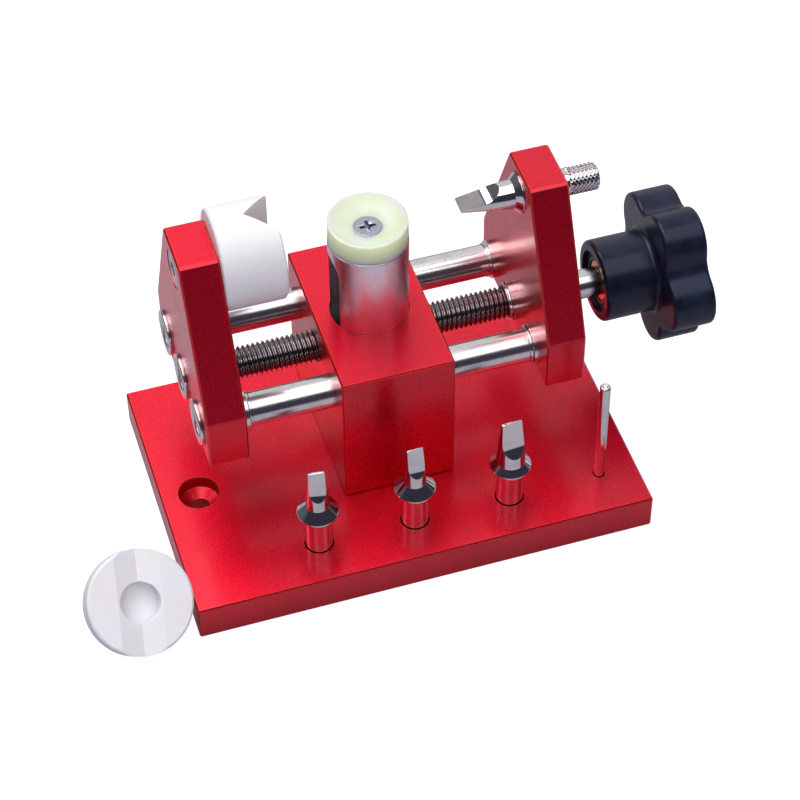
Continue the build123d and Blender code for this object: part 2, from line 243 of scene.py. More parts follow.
def prism(name, outline, height):
    """Raise a closed outline of (x, y) points along Z. Everything is in millimetres."""
    points = [Vector((x, y, 0)) * MM for x, y in outline]
    piece = start_point(name, points[0])
    draw_line(points + points[:1])
    bpy.ops.mesh.select_all(action="SELECT")
    bpy.ops.mesh.remove_doubles(threshold=WELD)
    bpy.ops.mesh.edge_face_add()
    bpy.ops.mesh.extrude_region_move(TRANSFORM_OT_translate={"value": (0, 0, height * MM)})
    weld()
    return piece


def place(piece, spot, turn=None):
    """Turn and move a piece to its place, and keep the place in its mesh."""
    pick(piece)
    piece.matrix_world = Matrix.Translation(spot) @ (turn or Matrix.Identity(4))
    bpy.ops.object.transform_apply(location=True, rotation=True, scale=True)
    return piece


def combine(piece, other, how="DIFFERENCE"):
    """Cut, add or keep the overlap of another solid, which is used up."""
    pick(piece)
    change = piece.modifiers.new("combine", "BOOLEAN")
    change.operation, change.solver, change.object = how, "EXACT", other
    bpy.ops.object.modifier_apply(modifier=change.name)
    bpy.data.objects.remove(other)
    return piece


def join(piece, *others):
    """Several closed shells as one piece."""
    pick(piece)
    for other in others:
        other.select_set(True)
    bpy.ops.object.join()
    return piece


def soften(piece, width, segments=2, angle=30, flat_beyond=32):
    """Round every edge sharper than an angle, and shade the piece smooth across the rounds."""
    pick(piece)
    bevel = piece.modifiers.new("round", "BEVEL")
    bevel.width, bevel.segments = width * MM, segments
    bevel.limit_method, bevel.angle_limit = "ANGLE", radians(angle)
    bpy.ops.object.modifier_apply(modifier=bevel.name)
    shade(piece, flat_beyond)
    return piece


def shade(piece, angle=32):
    """Smooth shading that keeps flat faces flat."""
    pick(piece)
    bpy.ops.object.shade_smooth_by_angle(angle=radians(angle))
    level = piece.modifiers.new("flats", "WEIGHTED_NORMAL")
    level.keep_sharp = True
    bpy.ops.object.modifier_apply(modifier=level.name)
    return piece


def finish_piece(piece, material, body, slot, *nodes):
    """Give a piece its one finish, the body that it moves with and the nodes that it stands for."""
    piece.data.materials.clear()
    piece.data.materials.append(material)
    piece.data.polygons.foreach_set("material_index", [0] * len(piece.data.polygons))
    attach(piece, body)
    if nodes:
        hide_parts(*nodes)
    return piece


def operator_done(operator, made):
    """Report what an operator made."""
    operator.report({"INFO"}, f"{operator.bl_label}: {made} pieces")
    return {"FINISHED"}


# ---- material helpers -------------------------------------------------------------------
def new_material(name):
    """A material with an empty node tree, its Principled shader and its output."""
    material = bpy.data.materials.new(name)
    material.use_nodes = True
    tree = material.node_tree
    tree.nodes.clear()
    output = tree.nodes.new("ShaderNodeOutputMaterial")
    shader = tree.nodes.new("ShaderNodeBsdfPrincipled")
    tree.links.new(shader.outputs["BSDF"], output.inputs["Surface"])
    return material, tree, shader


def feed(tree, node, values):
    """Give input sockets a fixed value, or link them to an output socket."""
    for socket, value in values.items():
        if isinstance(value, bpy.types.NodeSocket):
            tree.links.new(value, node.inputs[socket])
        else:
            node.inputs[socket].default_value = value


def add_node(tree, kind, values=None, **settings):
    """A node with some settings, and values or links for its input sockets."""
    node = tree.nodes.new(kind)
    for name, value in settings.items():
        setattr(node, name, value)
    feed(tree, node, values or {})
    return node


def multiply(tree, first, second):
    """The product of two numbers or output sockets."""
    return add_node(tree, "ShaderNodeMath", {0: first, 1: second}, operation="MULTIPLY").outputs[0]


def map_range(tree, value, low, high, out_low, out_high):
    """A value moved from one range to another, and kept inside it."""
    return add_node(tree, "ShaderNodeMapRange", {
        "Value": value, "From Min": low, "From Max": high, "To Min": out_low, "To Max": out_high,
    }).outputs["Result"]


def mix_colour(tree, share, first, second):
    """A colour mix. The colours are tuples or output sockets, and so is the share."""
    return add_node(tree, "ShaderNodeMix", {0: share, 6: first, 7: second}, data_type="RGBA").outputs[2]


def scaled(tint, *factors):
    """A colour with its channels multiplied by one factor, or by one each."""
    factors = factors if len(factors) == 3 else factors * 3
    return tuple(channel * factor for channel, factor in zip(tint[:3], factors)) + (1,)


def bump(tree, shader, height, distance, strength=1.0):
    """Feed a height to the shader's normal. The distance is in millimetres."""
    node = add_node(tree, "ShaderNodeBump", {
        "Strength": strength, "Distance": distance * MM, "Height": height})
    tree.links.new(node.outputs["Normal"], shader.inputs["Normal"])


def new_group(name, inputs, outputs):
    """An empty shader node group with named value inputs and outputs."""
    group = bpy.data.node_groups.new(name, "ShaderNodeTree")
    for label, default in inputs.items():
        kind = "NodeSocketVector" if isinstance(default, tuple) else "NodeSocketFloat"
        group.interface.new_socket(label, in_out="INPUT", socket_type=kind).default_value = default
    for label in outputs:
        group.interface.new_socket(label, in_out="OUTPUT", socket_type="NodeSocketFloat")
    return group, group.nodes.new("NodeGroupInput"), group.nodes.new("NodeGroupOutput")


def use_group(tree, group, **values):
    """Place a group in a material with its own values. Underscores stand for spaces."""
    node = tree.nodes.new("ShaderNodeGroup")
    node.node_tree = group
    for name, value in values.items():
        node.inputs[name.replace("_", " ").capitalize()].default_value = value
    return node


def grain_group():
    """Fine blasted grain with slow patches. Outputs a height and a slow tone, both near 0 to 1."""
    group, given, out = new_group("fine_grain", {"Grains per metre": 2600.0, "Patches per metre": 60.0},
                                  ("Height", "Patches"))
    place_in_mesh = add_node(group, "ShaderNodeTexCoord").outputs["Object"]
    for label, socket, detail in (("Height", "Grains per metre", 3.0),
                                  ("Patches", "Patches per metre", 2.0)):
        noise = add_node(group, "ShaderNodeTexNoise", {
            "Detail": detail, "Roughness": 0.6, "Vector": place_in_mesh, "Scale": given.outputs[socket]})
        group.links.new(noise.outputs[0], out.inputs[label])
    return group


def tool_marks_group():
    """Fine rings left by a lathe or grinder, across an axis. Outputs a height and a broken-up mask."""
    group, given, out = new_group(
        "tool_marks", {"Axis": (1.0, 0.0, 0.0), "Rings per metre": 9000.0, "Smudges per metre": 220.0},
        ("Height", "Smudges"))
    place_in_mesh = add_node(group, "ShaderNodeTexCoord").outputs["Object"]
    along = add_node(group, "ShaderNodeVectorMath", {0: place_in_mesh, 1: given.outputs["Axis"]},
                     operation="DOT_PRODUCT")
    rings = add_node(group, "ShaderNodeTexNoise", {
        "Detail": 2.0, "W": along.outputs["Value"], "Scale": given.outputs["Rings per metre"],
    }, noise_dimensions="1D")
    smudges = add_node(group, "ShaderNodeTexNoise", {
        "Detail": 4.0, "Roughness": 0.65, "Vector": place_in_mesh,
        "Scale": given.outputs["Smudges per metre"]})
    feed(group, out, {"Height": rings.outputs[0], "Smudges": smudges.outputs[0]})
    return group


def painted_edge_highlight_group():
    """Mask of the outer edges, where a painted orange highlight is mixed into the red colour."""
    group, given, out = new_group("worn_edge", {"Width": 0.45 * MM, "Strength": 0.5}, ("Edge",))
    rounded = add_node(group, "ShaderNodeBevel", {"Radius": given.outputs["Width"]}, samples=4)
    surface = add_node(group, "ShaderNodeNewGeometry")
    level = add_node(group, "ShaderNodeVectorMath", {
        0: rounded.outputs["Normal"], 1: surface.outputs["Normal"]}, operation="DOT_PRODUCT")
    turned = map_range(group, level.outputs["Value"], 0.995, 0.93, 0.0, 1.0)
    feed(group, out, {"Edge": multiply(group, turned, given.outputs["Strength"])})
    return group


# ---- finishes ---------------------------------------------------------------------------
def red_anodised(finish, grain, edges):
    """Blasted aluminium, dyed red and sealed: rough metal under a clear skin."""
    material, tree, shader = new_material("red_anodised")
    marks, edge_highlight = use_group(tree, grain), use_group(tree, edges)
    patchy = mix_colour(tree, map_range(tree, marks.outputs["Patches"], 0.35, 0.65, 0, 0.5),
                        tuple(finish.red_dye), scaled(finish.red_dye, 0.80))
    speck = map_range(tree, marks.outputs["Height"], 0.38, 0.62, 0.0, 0.8)
    grainy = mix_colour(tree, speck, patchy, scaled(finish.red_dye, 0.45))
    feed(tree, shader, {
        # painted highlight: the outer edges and chamfers are tinted bright orange
        "Base Color": mix_colour(tree, edge_highlight.outputs["Edge"], grainy, (1.0, 0.16, 0.05, 1)),
        "Roughness": map_range(tree, marks.outputs["Patches"], 0.3, 0.7, 0.40, 0.45),
        "Metallic": 0.94, "Coat Weight": 0.65, "Coat Roughness": 0.20, "Coat IOR": 1.5})
    bump(tree, shader, marks.outputs["Height"], 0.040, 0.6)
    return material


def steel_finish(name, tint, marks, axis, roughness, ring_depth, rings=9000.0):
    """Bright metal with fine rings across its axis and faint handling smudges."""
    material, tree, shader = new_material(name)
    used = use_group(tree, marks, axis=axis, rings_per_metre=rings)
    share = map_range(tree, used.outputs["Smudges"], 0.45, 0.75, 0.0, 1.0)
    feed(tree, shader, {
        "Base Color": mix_colour(tree, share, tuple(tint), scaled(tint, 0.82)),
        "Roughness": map_range(tree, used.outputs["Smudges"], 0.30, 0.80, roughness, roughness * 1.3),
        "Metallic": 1.0})
    bump(tree, shader, used.outputs["Height"], ring_depth)
    return material


def moulded_black(finish, grain):
    """Black moulded plastic with a faint leathery skin."""
    material, tree, shader = new_material("moulded_black")
    marks = use_group(tree, grain, grains_per_metre=1900.0, patches_per_metre=90.0)
    share = map_range(tree, marks.outputs["Patches"], 0.35, 0.7, 0.0, 1.0)
    feed(tree, shader, {
        "Base Color": mix_colour(tree, share, tuple(finish.knob_plastic), scaled(finish.knob_plastic, 2.2)),
        "Roughness": map_range(tree, marks.outputs["Patches"], 0.3, 0.7, 0.24, 0.34),
        "IOR": 1.45, "Specular Tint": (0.62, 0.68, 0.95, 1)})
    bump(tree, shader, marks.outputs["Height"], 0.012)
    return material


def white_nylon(finish, grain):
    """Milky machined nylon that lets a little light in."""
    material, tree, shader = new_material("white_nylon")
    marks = use_group(tree, grain, grains_per_metre=900.0, patches_per_metre=120.0)
    share = map_range(tree, marks.outputs["Patches"], 0.4, 0.7, 0.0, 1.0)
    feed(tree, shader, {
        "Base Color": mix_colour(tree, share, tuple(finish.nylon), scaled(finish.nylon, 1, 0.975, 0.93)),
        "Roughness": map_range(tree, marks.outputs["Height"], 0.3, 0.7, 0.38, 0.50), "IOR": 1.53,
        "Subsurface Weight": 0.35, "Subsurface Radius": (1.0, 0.95, 0.85), "Subsurface Scale": 1.5 * MM})
    bump(tree, shader, marks.outputs["Height"], 0.010)
    return material


def clear_pad(finish, grain):
    """Frosted yellow-green urethane that glows at its edges."""
    material, tree, shader = new_material("clear_pad")
    marks = use_group(tree, grain, grains_per_metre=1200.0, patches_per_metre=150.0)
    share = map_range(tree, marks.outputs["Patches"], 0.35, 0.7, 0.0, 1.0)
    deeper = scaled(finish.soft_pad, 0.93, 0.99, 0.82)
    feed(tree, shader, {
        "Base Color": mix_colour(tree, share, tuple(finish.soft_pad), deeper),
        "Roughness": map_range(tree, marks.outputs["Height"], 0.3, 0.7, 0.30, 0.42), "IOR": 1.45,
        "Transmission Weight": 0.12, "Subsurface Weight": 0.9,
        "Subsurface Radius": (1.0, 1.0, 0.45), "Subsurface Scale": 9.0 * MM})
    bump(tree, shader, marks.outputs["Height"], 0.008)
    return material


def make_finishes(context):
    """Every finish, by the record's name for its slot or by its own."""
    finish = context.scene.press_finish
    grain, marks, edges = grain_group(), tool_marks_group(), painted_edge_highlight_group()
    along, upright = (1.0, 0.0, 0.0), (0.0, 0.0, 1.0)
    return {
        "red_aluminium": red_anodised(finish, grain, edges),
        "polished_steel": steel_finish("ground_steel", finish.steel, marks, along, 0.19, 0.0012),
        "chrome_steel": steel_finish("chrome_upright", finish.steel, marks, upright, 0.06, 0.0006),
        "chrome_level": steel_finish("chrome_level", finish.steel, marks, along, 0.06, 0.0006),
        "satin_aluminium": steel_finish("satin_aluminium", finish.bare_aluminium, marks, upright, 0.28,
                                        0.0008, 5000.0),
        "black_oxide": steel_finish("black_oxide", finish.black_oxide, marks, along, 0.20, 0.003),
        "black_plastic": moulded_black(finish, grain),
        "brass": steel_finish("turned_brass", finish.brass, marks, along, 0.22, 0.002),
        "white_nylon": white_nylon(finish, grain),
        "soft_pad": clear_pad(finish, grain),
        "zinc_steel": steel_finish("zinc_plated", finish.zinc, marks, upright, 0.20, 0.0015),
    }


FINISHES = {}


# ---- screw, rods and bushes -------------------------------------------------------------
def thread(name, length, crest, sizes):
    """A right-hand thread standing on Z, with flat ends. Lengths are in millimetres."""
    pitch, root = sizes.thread_pitch / MM, crest - sizes.thread_depth / MM
    flank = (crest - root) * tan(radians(30))
    flat = pitch / 8
    gap = pitch - 2 * flank - flat
    tooth = [(root, 0), (root, gap), (crest, gap + flank), (crest, gap + flank + flat), (root, pitch)]
    points = [Vector((radius, 0, height)) * MM for radius, height in tooth]
    piece = start_point(name, points[0])
    draw_line(points)
    pick(piece)
    screw = piece.modifiers.new("thread", "SCREW")
    screw.axis, screw.screw_offset = "Z", sizes.thread_pitch
    screw.steps = screw.render_steps = 48
    screw.iterations = math.ceil(length / pitch) + 2
    bpy.ops.object.modifier_apply(modifier=screw.name)
    bpy.ops.object.mode_set(mode="EDIT")
    bpy.ops.mesh.select_all(action="SELECT")
    bpy.ops.mesh.remove_doubles(threshold=WELD)
    for height, side in ((pitch, "clear_inner"), (pitch + length, "clear_outer")):
        bpy.ops.mesh.select_all(action="SELECT")
        bpy.ops.mesh.bisect(plane_co=(0, 0, height * MM), plane_no=(0, 0, 1), use_fill=True,
                            **{side: True})
    weld()
    place(piece, (0, 0, -pitch * MM))
    blank = lathe("blank", [(0, 0), (root - 0.1, 0), (crest + 0.2, crest - root + 0.3),
                            (crest + 0.2, length + 1), (0, length + 1)], steps=48)
    return combine(piece, blank, "INTERSECT")


def make_lead_screw(sizes):
    """Right-hand thread on the left, left-hand thread on the right, a bright journal between them."""
    low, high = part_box("lead_screw")
    crest = half_size("lead_screw").z / MM
    journal_radius, journal_half = 3.5, 16.06
    tail_radius, shoulder = 3.0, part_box("knob_sleeve")[0].x / MM
    axis = (0, CENTRE_Y, SCREW_LINE)
    left = thread("cut_lead_screw", -low.x / MM - journal_half, crest, sizes)
    place(left, (low.x, CENTRE_Y, SCREW_LINE), ALONG_X)
    right = thread("right_thread", shoulder - 0.1 - journal_half, crest, sizes)
    pick(right)
    right.matrix_world = Matrix.Scale(-1, 4, (0, 0, 1))
    bpy.ops.object.transform_apply(location=True, rotation=True, scale=True)
    edit(right)
    weld()
    place(right, ((shoulder - 0.1) * MM, CENTRE_Y, SCREW_LINE), ALONG_X)
    core = lathe("core", [(0, -journal_half - 2), (journal_radius, -journal_half - 2),
                          (journal_radius, journal_half + 2), (tail_radius, journal_half + 2),
                          (tail_radius, high.x / MM - 0.4), (tail_radius - 0.4, high.x / MM),
                          (0, high.x / MM)])
    place(core, axis, ALONG_X)
    return shade(join(left, right, core), 28)


def make_rod(name, node):
    """A ground guide rod with chamfered ends."""
    low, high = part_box(node)
    radius, length = half_size(node).z / MM, (high.x - low.x) / MM
    rod = lathe(name, [(0, 0)] + bar(radius, length, 0.6) + [(0, length)])
    soften(rod, 0.12)
    return place(rod, (low.x, middle(node).y, SCREW_LINE), ALONG_X)


def make_bush(name, node, bore):
    """A flanged bush. Its nose stands inside the jaw plate and its flange lies on the outside."""
    side = 1 if "right" in node else -1
    low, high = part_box(node)
    flange_radius = half_size(node).z / MM
    inner = min(abs(low.x), abs(high.x)) / MM
    outer = max(abs(low.x), abs(high.x)) / MM
    seat = PLATE_OUTER / MM
    body_radius = flange_radius - 1.0
    outline = [(bore + 0.35, inner), (body_radius - 0.8, inner), (body_radius - 0.8, inner + 0.8),
               (body_radius, inner + 1.1), (body_radius, seat), (flange_radius, seat),
               (flange_radius, outer - 0.3), (flange_radius - 0.3, outer), (bore + 0.9, outer),
               (bore, outer - 0.7), (bore, inner + 0.35)]
    bush = lathe(name, outline, ring=True)
    soften(bush, 0.09)
    return place(bush, (0, middle(node).y, SCREW_LINE), ALONG_X if side > 0 else AGAINST_X)


class PRESS_OT_lead_screw(bpy.types.Operator):
    """Cut the two opposite threads of the lead screw"""
    bl_idname = "case_press.lead_screw"
    bl_label = "Lead screw"

    def execute(self, context):
        screw = make_lead_screw(context.scene.press_sizes)
        finish_piece(screw, FINISHES["black_oxide"], "screw", "black_oxide", "lead_screw")
        return operator_done(self, 1)


class PRESS_OT_rods_and_bushes(bpy.types.Operator):
    """Turn the guide rods, the bushes that run on them and the two nuts"""
    bl_idname = "case_press.rods_and_bushes"
    bl_label = "Rods and bushes"

    def execute(self, context):
        for where in ("front", "back"):
            rod = make_rod("ground_rod_" + where, "guide_rod_" + where)
            finish_piece(rod, FINISHES["polished_steel"], "frame", "polished_steel", "guide_rod_" + where)
        for side in ("left", "right"):
            for kind, bore in (("bush_front", 5.05), ("bush_back", 5.05), ("nut", 5.0)):
                node = side + "_" + kind
                bush = make_bush("turned_" + node, node, bore)
                finish_piece(bush, FINISHES["polished_steel"], side + "_jaw", "polished_steel", node)
        return operator_done(self, 8)


# ---- knob -------------------------------------------------------------------------------
def star_points(lobes, reach, lobe_radius, valley_radius):
    """Outline of round lobes joined by hollow valleys, in millimetres."""
    from_centre = reach - lobe_radius
    half_step = 180 / lobes
    across = from_centre * sin(radians(half_step))
    valley_centre = from_centre * cos(radians(half_step)) + math.sqrt(
        (lobe_radius + valley_radius) ** 2 - across ** 2)
    lean = math.degrees(math.asin(across / (lobe_radius + valley_radius)))
    lobe_sweep = half_step + lean
    points = []
    for lobe in range(lobes):
        facing = 2 * half_step * lobe
        centre = (from_centre * cos(radians(facing)), from_centre * sin(radians(facing)))
        points += arc(centre, lobe_radius, facing - lobe_sweep, facing + lobe_sweep, 20)[:-1]
        facing += half_step
        centre = (valley_centre * cos(radians(facing)), valley_centre * sin(radians(facing)))
        points += arc(centre, valley_radius, facing + 180 + lean, facing + 180 - lean, 12)[:-1]
    return points


def make_knob(sizes):
    """Star grip with a round hub, a ringed recess at the shaft and a dished outer face."""
    low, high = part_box("knob")
    hub_length, hub_radius, star_thickness, reach = 17.0, 12.6, high.x / MM - low.x / MM - 17.0, 24.0
    star = prism("moulded_knob", star_points(sizes.knob_lobes, reach, 9.5, 6.0), star_thickness)
    edit(star, "EDGE")
    select_where(star, "edges", lambda e: e.calc_face_angle(0) > radians(60))
    bpy.ops.mesh.bevel(offset=1.2 * MM, segments=6, affect="EDGES")
    leave_edit_mode()
    recess = 9.6
    hub = lathe("hub", [(0, -hub_length + 1.6), (6.4, -hub_length + 1.6), (6.4, -hub_length + 1.2),
                        (7.4, -hub_length + 1.2), (7.4, -hub_length + 1.5), (8.2, -hub_length + 1.5),
                        (8.2, -hub_length + 1.2), (recess, -hub_length + 1.2), (recess, -hub_length)]
                + arc((hub_radius - 1.2, -hub_length + 1.2), 1.2, -90, 0, 6)
                + [(hub_radius, 1.0), (0, 1.0)])
    combine(star, hub, "UNION")
    dish = lathe("dish", [(0, star_thickness - 1.0), (12.4, star_thickness - 1.0),
                          (13.0, star_thickness + 1), (0, star_thickness + 1)])
    combine(star, dish)
    bore = lathe("bore", [(0, -hub_length - 1), (4.75, -hub_length - 1), (4.75, -hub_length + 1.5),
                          (6.0, -hub_length + 1.5), (6.0, star_thickness - 7), (0, star_thickness - 7)])
    combine(star, bore)
    edit(star, "EDGE")
    select_where(star, "edges", lambda e: all(
        abs(v.co.z) < 0.02 * MM and abs(math.hypot(v.co.x, v.co.y) - hub_radius * MM) < 0.05 * MM
        for v in e.verts))
    bpy.ops.mesh.bevel(offset=1.6 * MM, segments=5, affect="EDGES")
    leave_edit_mode()
    shade(star, 35)
    first_lobe = Matrix.Rotation(-TURN / 4, 4, "Z")
    return place(star, (low.x + hub_length * MM, CENTRE_Y, SCREW_LINE), ALONG_X @ first_lobe)


class PRESS_OT_knob(bpy.types.Operator):
    """Mould the star knob and turn its sleeve"""
    bl_idname = "case_press.knob"
    bl_label = "Knob"

    def execute(self, context):
        knob = make_knob(context.scene.press_sizes)
        finish_piece(knob, FINISHES["black_plastic"], "screw", "black_plastic", "knob")
        low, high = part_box("knob_sleeve")
        radius, length = half_size("knob_sleeve").z / MM, (high.x - low.x) / MM
        bore = 3.0
        sleeve = lathe("turned_sleeve", [(bore, 0)] + bar(radius, length) + [(bore, length)], ring=True)
        soften(sleeve, 0.08)
        place(sleeve, (low.x, CENTRE_Y, SCREW_LINE), ALONG_X)
        finish_piece(sleeve, FINISHES["polished_steel"], "screw", "polished_steel", "knob_sleeve")
        return operator_done(self, 2)


# ---- post and pad -----------------------------------------------------------------------
def make_post():
    """Round sprung post with a long slot for the lead screw."""
    low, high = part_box("post")
    radius, height = half_size("post").x / MM, (high.z - low.z) / MM
    post = lathe("slotted_post", [(0, 0)] + bar(radius, height) + [(0, height)], steps=128)
    slot_half, slot_low, slot_top = 5.4, 44.3 - low.z / MM, 84.0 - low.z / MM
    slot = prism("slot", arc((slot_low + slot_half, 0), slot_half, 90, 270, 24)
                 + arc((slot_top - slot_half, 0), slot_half, 270, 450, 24), 4 * radius)
    upright = Matrix(((0, 0, 1, 0), (0, 1, 0, 0), (1, 0, 0, 0), (0, 0, 0, 1)))
    place(slot, (-2 * radius * MM, 0, 0), upright)
    edit(slot)
    weld()
    combine(post, slot)
    soften(post, 0.22, 3)
    return place(post, (0, CENTRE_Y, low.z))


def make_pad():
    """Soft pad with a dished top and a rounded rim."""
    low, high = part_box("post_pad")
    radius, height = half_size("post_pad").x / MM, (high.z - low.z) / MM
    dish_radius, seat_radius = radius - 0.8, 4.35
    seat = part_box("pad_screw")[1].z / MM - low.z / MM
    dish = [(seat_radius + (dish_radius - seat_radius) * share,
             seat + (height - seat) * (0.25 * share + 0.75 * share ** 2.6)) for share in
            (step / 16 for step in range(17))]
    outline = [(2.05, 0), (radius - 0.15, 0), (radius, 0.15)]
    outline += arc((radius - 0.4, height - 0.4), 0.4, 0, 90, 5) + dish[::-1]
    outline += [(2.05, seat - seat_radius + 2.05)]
    pad = lathe("clear_post_pad", outline, ring=True)
    shade(pad, 40)
    return place(pad, (0, CENTRE_Y, low.z))


def cross_recess(across, width, depth):
    """Solid of a cross recess, narrowing downwards from Z 0. Sizes are in millimetres."""
    arms = []
    for turn in (0, TURN / 4):
        arm = prism("arm", [(-across / 2, -width / 2), (across / 2, -width / 2), (across / 2, width / 2),
                            (-across / 2, width / 2)], -depth)
        edit(arm)
        select_where(arm, "faces", lambda f: f.calc_center_median().z < -depth * MM * 0.9)
        bpy.ops.transform.resize(value=(0.45, 0.6, 1.0), center_override=(0, 0, -depth * MM))
        leave_edit_mode()
        arms.append(place(arm, (0, 0, 0.02 * MM), Matrix.Rotation(turn, 4, "Z")))
    well = lathe("well", [(0, 0.02), (width * 0.95, 0.02), (width * 0.62, -depth * 0.9),
                          (0, -depth * 1.15)], steps=16)
    combine(arms[0], arms[1], "UNION")
    return combine(arms[0], well, "UNION")


def make_cross_screw():
    """Countersunk screw with a cross recess, in the middle of the pad."""
    low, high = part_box("pad_screw")
    head, shank, length = 4.25, 2.0, (high.z - low.z) / MM
    screw = lathe("cross_head_screw", [(0, -length), (shank, -length), (shank, shank - head - 0.25),
                                       (head, -0.25), (head - 0.2, -0.02), (head - 0.6, 0), (0, 0)])
    combine(screw, cross_recess(4.9, 1.05, 2.2))
    soften(screw, 0.10)
    return place(screw, (0, CENTRE_Y, high.z))


def make_hex_screw():
    """Countersunk screw with a hexagon socket, in the outer face of the left plate."""
    low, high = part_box("nylon_jaw_screw")
    head, shank, length = half_size("nylon_jaw_screw").z / MM, 3.0, (high.x - low.x) / MM
    screw = lathe("hex_head_screw", [(0, length), (shank, length), (shank, head - shank + 0.3), (head, 0.3),
                                     (head - 0.15, 0.08), (head - 0.7, 0), (0, 0)])
    socket = prism("socket", arc((0, 0), 2.45, 0, 360, 6)[:-1], 2.8)
    place(socket, (0, 0, -0.2 * MM))
    combine(screw, socket)
    soften(screw, 0.10)
    return place(screw, (low.x, CENTRE_Y, TOOL_LINE), ALONG_X)


def make_spring():
    """Compression spring under the post, a round wire on a helix with closed ends."""
    low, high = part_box("post_spring")
    wire, turns = 0.8 * MM, 5
    bpy.ops.mesh.primitive_circle_add(vertices=14, radius=wire, rotation=(TURN / 4, 0, 0),
                                      location=(half_size("post_spring").x - wire, 0, 0))
    coil = bpy.context.object
    coil.name = coil.data.name = "compression_spring"
    bpy.ops.object.transform_apply(location=True, rotation=True, scale=True)
    screw = coil.modifiers.new("coil", "SCREW")
    screw.axis, screw.iterations = "Z", turns
    screw.screw_offset = (high.z - low.z - 2 * wire) / turns
    screw.steps = screw.render_steps = 40
    bpy.ops.object.modifier_apply(modifier=screw.name)
    edit(coil)
    bpy.ops.mesh.select_all(action="SELECT")
    bpy.ops.mesh.fill_holes(sides=0)
    weld()
    shade(coil, 40)
    return place(coil, (0, CENTRE_Y, low.z + wire))


class PRESS_OT_post(bpy.types.Operator):
    """Turn the slotted post, its soft pad and the two countersunk screws"""
    bl_idname = "case_press.post"
    bl_label = "Post and pad"

    def execute(self, context):
        finish_piece(make_post(), FINISHES["satin_aluminium"], "sprung_post", "satin_aluminium", "post")
        finish_piece(make_pad(), FINISHES["soft_pad"], "sprung_post", "soft_pad", "post_pad")
        finish_piece(make_cross_screw(), FINISHES["zinc_steel"], "sprung_post", "zinc_steel", "pad_screw")
        finish_piece(make_hex_screw(), FINISHES["zinc_steel"], "left_jaw", "zinc_steel", "nylon_jaw_screw")
        spring, (low, high) = make_spring(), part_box("post_spring")
        finish_piece(spring, FINISHES["zinc_steel"], "sprung_post", "zinc_steel", "post_spring")
        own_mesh(spring)
        return operator_done(self, 5)


# ---- nylon jaws -------------------------------------------------------------------------
def make_grooved_disc(name, radius, length, groove_half, groove_depth, recess_radius, recess_depth):
    """Round nylon jaw with its working face at Z 0, a V groove along Y and perhaps a round recess."""
    disc = lathe(name, [(0, -length), (radius - 0.6, -length), (radius, -length + 0.6), (radius, -0.6),
                        (radius - 0.6, 0), (0, 0)], steps=128)
    lift = 0.05
    groove = prism("groove", [(-groove_half - lift, lift), (0, -groove_depth),
                              (groove_half + lift, lift)], 80)
    place(groove, (0, 40 * MM, 0), Matrix.Rotation(TURN / 4, 4, "X"))
    combine(disc, groove)
    if recess_radius:
        combine(disc, lathe("recess", [(0, -recess_depth), (recess_radius, -recess_depth),
                                       (recess_radius, 1), (0, 1)]))
    soften(disc, 0.3, 6, flat_beyond=17)
    for face in disc.data.polygons:
        if len(face.vertices) > 30:         # the rounding leaves the large flat faces slightly uneven
            level, centre = face.normal.copy(), face.center.copy()
            for index in face.vertices:
                vertex = disc.data.vertices[index]
                vertex.co -= level * (vertex.co - centre).dot(level)
    return shade(disc, 17)


class PRESS_OT_nylon_jaws(bpy.types.Operator):
    """Turn the fitted nylon jaw and the loose one beside the base"""
    bl_idname = "case_press.nylon_jaws"
    bl_label = "Nylon jaws"

    def execute(self, context):
        low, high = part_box("nylon_jaw")
        fitted = make_grooved_disc("nylon_v_jaw", half_size("nylon_jaw").z / MM, (high.x - low.x) / MM,
                                   7.8, 8.6, 0, 0)
        place(fitted, (high.x, CENTRE_Y, TOOL_LINE), ALONG_X @ Matrix.Rotation(TURN / 4, 4, "Z"))
        finish_piece(fitted, FINISHES["white_nylon"], "left_jaw", "white_nylon", "nylon_jaw")
        loose = make_grooved_disc("loose_v_jaw", 15.5, 9.0, 6.6, 2.2, 5.9, 6.0)
        lean = Matrix.Rotation(radians(8), 4, "Z") @ Matrix.Rotation(radians(40), 4, "X")
        place(loose, Vector((-85.2, -40.3, 17.2)) * MM, lean @ Matrix.Rotation(radians(-14), 4, "Z"))
        finish_piece(loose, FINISHES["white_nylon"], "loose_jaw", "white_nylon", "spare_nylon_jaw")
        return operator_done(self, 2)


# ---- bits and pin -----------------------------------------------------------------------
NARROW = {"neck": 3.4, "tip": 2.4, "reach": 16.7, "facet": 5.4, "scoop": 4.6}
WIDE = {"neck": 4.4, "tip": 3.0, "reach": 18.1, "facet": 7.0, "scoop": 5.2}
BELOW_RIM, RIM_RADIUS, STEM_RADIUS, KNURL_RADIUS, KNURL_LENGTH = 24.1, 6.15, 4.1, 4.2, 9.1


